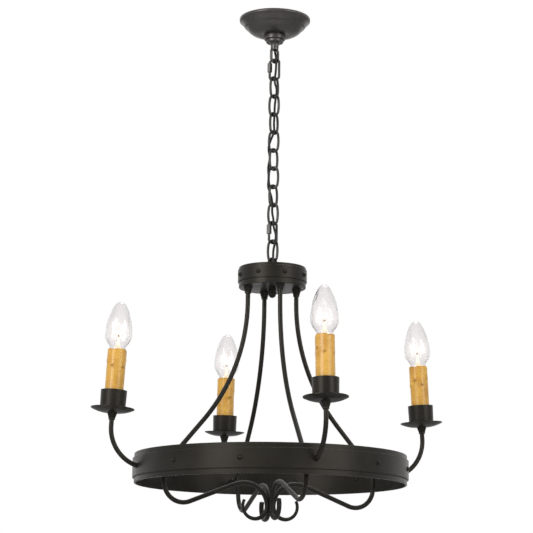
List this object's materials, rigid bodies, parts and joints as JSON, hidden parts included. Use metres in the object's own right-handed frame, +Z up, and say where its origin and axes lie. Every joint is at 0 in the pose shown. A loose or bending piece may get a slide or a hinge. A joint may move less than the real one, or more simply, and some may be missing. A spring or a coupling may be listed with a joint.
{
  "type": "ceiling light",
  "caption": "Hanging chandelier: a riveted metal band ring carried on bent tubes from a round hub, with candle lamps round it, on a chain under a domed ceiling canopy.",
  "frame": {"origin": "centre of the ceiling plane, in the middle of the crossbar's two screw slots", "axes": "+Z points up into the ceiling along the chain; the near arm lies 18 degrees from -Y towards +X; the crossbar lies along X"},
  "size_m": [0.6074, 0.6074, 0.8982],
  "materials": {
    "charcoal_paint": "matte hammered charcoal powder coat on steel",
    "pewter_paint": "satin pewter-grey powder coat on spun and turned steel",
    "chain_steel": "dark satin coat on welded round-wire links",
    "zinc_steel": "bright zinc-plated steel",
    "amber_resin": "honey-coloured translucent resin with a streaked, dripped surface",
    "socket_shell": "plain brass screw shell",
    "bulb_cap": "bright rolled screw cap",
    "clear_glass": "clear glass with swirled, crackled relief",
    "cord_cover": "dark brown round cord",
    "bushing_plastic": "black moulded plastic"
  },
  "bodies": {
    "ceiling_mount": {"crossbar": "zinc_steel", "canopy_nipple": "zinc_steel", "nipple_lock_nuts": "zinc_steel", "canopy_loop": "pewter_paint", "supply_cord": "cord_cover"},
    "canopy_body": {"canopy": "pewter_paint"},
    "collar_body": {"canopy_collar": "pewter_paint"},
    "upper_link_body": {"upper_quick_link": "chain_steel"},
    "upper_nut_body": {"upper_quick_link_nut": "chain_steel"},
    "link_1_body": {"chain_link_1": "chain_steel"},
    "link_2_body": {"chain_link_2": "chain_steel"},
    "link_3_body": {"chain_link_3": "chain_steel"},
    "link_4_body": {"chain_link_4": "chain_steel"},
    "link_5_body": {"chain_link_5": "chain_steel"},
    "link_6_body": {"chain_link_6": "chain_steel"},
    "link_7_body": {"chain_link_7": "chain_steel"},
    "link_8_body": {"chain_link_8": "chain_steel"},
    "lower_link_body": {"lower_quick_link": "chain_steel"},
    "lower_nut_body": {"lower_quick_link_nut": "chain_steel"},
    "link_9_body": {"chain_link_9": "chain_steel"},
    "fixture": {"hub_pan": "charcoal_paint", "hub_cover": "charcoal_paint", "hub_strap": "charcoal_paint", "hub_rivets": "charcoal_paint", "hub_loop": "charcoal_paint", "hub_coupling": "zinc_steel", "hub_stem": "zinc_steel", "hub_finial": "charcoal_paint", "hub_nuts": "zinc_steel", "tube_ferrules": "charcoal_paint", "cord_bushing": "bushing_plastic", "ring_band": "charcoal_paint", "ring_strap": "charcoal_paint", "ring_rivets": "charcoal_paint", "bobeches": "charcoal_paint", "lamp_sockets": "socket_shell", "arm_tube_1": "charcoal_paint", "scroll_1": "charcoal_paint", "candle_cup_1": "charcoal_paint", "candle_sleeve_1": "amber_resin", "arm_tube_2": "charcoal_paint", "scroll_2": "charcoal_paint", "candle_cup_2": "charcoal_paint", "candle_sleeve_2": "amber_resin", "arm_tube_3": "charcoal_paint", "scroll_3": "charcoal_paint", "candle_cup_3": "charcoal_paint", "candle_sleeve_3": "amber_resin", "arm_tube_4": "charcoal_paint", "scroll_4": "charcoal_paint", "candle_cup_4": "charcoal_paint", "candle_sleeve_4": "amber_resin"},
    "bulb_1": {"bulb_glass_1": "clear_glass", "bulb_base_1": "bulb_cap"},
    "bulb_2": {"bulb_glass_2": "clear_glass", "bulb_base_2": "bulb_cap"},
    "bulb_3": {"bulb_glass_3": "clear_glass", "bulb_base_3": "bulb_cap"},
    "bulb_4": {"bulb_glass_4": "clear_glass", "bulb_base_4": "bulb_cap"}
  },
  "joints": [
    {"name": "chain_hinge_1", "type": "hinge", "parent": "ceiling_mount", "child": "upper_link_body", "pos_m": [0, 0, -0.0805], "axis": [0.7431, 0.6691, 0], "range_deg": [-45, 45], "deforming": ["supply_cord"]},
    {"name": "chain_hinge_2", "type": "hinge", "parent": "upper_link_body", "child": "link_1_body", "pos_m": [0, 0, -0.11345], "axis": [0.9272, -0.3746, 0], "range_deg": [-45, 45], "deforming": ["supply_cord"]},
    {"name": "chain_hinge_3", "type": "hinge", "parent": "link_1_body", "child": "link_2_body", "pos_m": [0, 0, -0.14665], "axis": [-0.7431, -0.6691, 0], "range_deg": [-45, 45], "deforming": ["supply_cord"]},
    {"name": "chain_hinge_4", "type": "hinge", "parent": "link_2_body", "child": "link_3_body", "pos_m": [0, 0, -0.17985], "axis": [-0.9272, 0.3746, 0], "range_deg": [-45, 45], "deforming": ["supply_cord"]},
    {"name": "chain_hinge_5", "type": "hinge", "parent": "link_3_body", "child": "link_4_body", "pos_m": [0, 0, -0.21305], "axis": [0.7431, 0.6691, 0], "range_deg": [-45, 45], "deforming": ["supply_cord"]},
    {"name": "chain_hinge_6", "type": "hinge", "parent": "link_4_body", "child": "link_5_body", "pos_m": [0, 0, -0.24625], "axis": [0.9272, -0.3746, 0], "range_deg": [-45, 45], "deforming": ["supply_cord"]},
    {"name": "chain_hinge_7", "type": "hinge", "parent": "link_5_body", "child": "link_6_body", "pos_m": [0, 0, -0.27945], "axis": [-0.7431, -0.6691, 0], "range_deg": [-45, 45], "deforming": ["supply_cord"]},
    {"name": "chain_hinge_8", "type": "hinge", "parent": "link_6_body", "child": "link_7_body", "pos_m": [0, 0, -0.31265], "axis": [-0.9272, 0.3746, 0], "range_deg": [-45, 45], "deforming": ["supply_cord"]},
    {"name": "chain_hinge_9", "type": "hinge", "parent": "link_7_body", "child": "link_8_body", "pos_m": [0, 0, -0.34585], "axis": [0.7431, 0.6691, 0], "range_deg": [-45, 45], "deforming": ["supply_cord"]},
    {"name": "chain_hinge_10", "type": "hinge", "parent": "link_8_body", "child": "lower_link_body", "pos_m": [0, 0, -0.37905], "axis": [0.9272, -0.3746, 0], "range_deg": [-45, 45], "deforming": ["supply_cord"]},
    {"name": "chain_hinge_11", "type": "hinge", "parent": "lower_link_body", "child": "link_9_body", "pos_m": [0, 0, -0.41225], "axis": [-0.7431, -0.6691, 0], "range_deg": [-45, 45], "deforming": ["supply_cord"]},
    {"name": "chain_hinge_12", "type": "hinge", "parent": "link_9_body", "child": "fixture", "pos_m": [0, 0, -0.44545], "axis": [-0.9272, 0.3746, 0], "range_deg": [-40, 40], "deforming": ["supply_cord"]},
    {"name": "canopy_drop", "type": "slide", "parent": "ceiling_mount", "child": "canopy_body", "axis": [0, 0, -1], "range_m": [0, 0.022]},
    {"name": "collar_turn", "type": "hinge", "parent": "canopy_body", "child": "collar_body", "pos_m": [0, 0, -0.035], "axis": [0, 0, 1], "continuous": true},
    {"name": "upper_nut_slide", "type": "slide", "parent": "upper_link_body", "child": "upper_nut_body", "axis": [0, 0, -1], "range_m": [0, 0.009]},
    {"name": "lower_nut_slide", "type": "slide", "parent": "lower_link_body", "child": "lower_nut_body", "axis": [0, 0, -1], "range_m": [0, 0.009]},
    {"name": "bulb_1_turn", "type": "hinge", "parent": "fixture", "child": "bulb_1", "pos_m": [0.08525, -0.26236, -0.63675], "axis": [-0.0175, 0.0539, 0.9984], "continuous": true},
    {"name": "bulb_2_turn", "type": "hinge", "parent": "fixture", "child": "bulb_2", "pos_m": [0.26236, 0.08525, -0.63675], "axis": [-0.0539, -0.0175, 0.9984], "continuous": true},
    {"name": "bulb_3_turn", "type": "hinge", "parent": "fixture", "child": "bulb_3", "pos_m": [-0.08525, 0.26236, -0.63675], "axis": [0.0175, -0.0539, 0.9984], "continuous": true},
    {"name": "bulb_4_turn", "type": "hinge", "parent": "fixture", "child": "bulb_4", "pos_m": [-0.26236, -0.08525, -0.63675], "axis": [0.0539, 0.0175, 0.9984], "continuous": true}
  ]
}
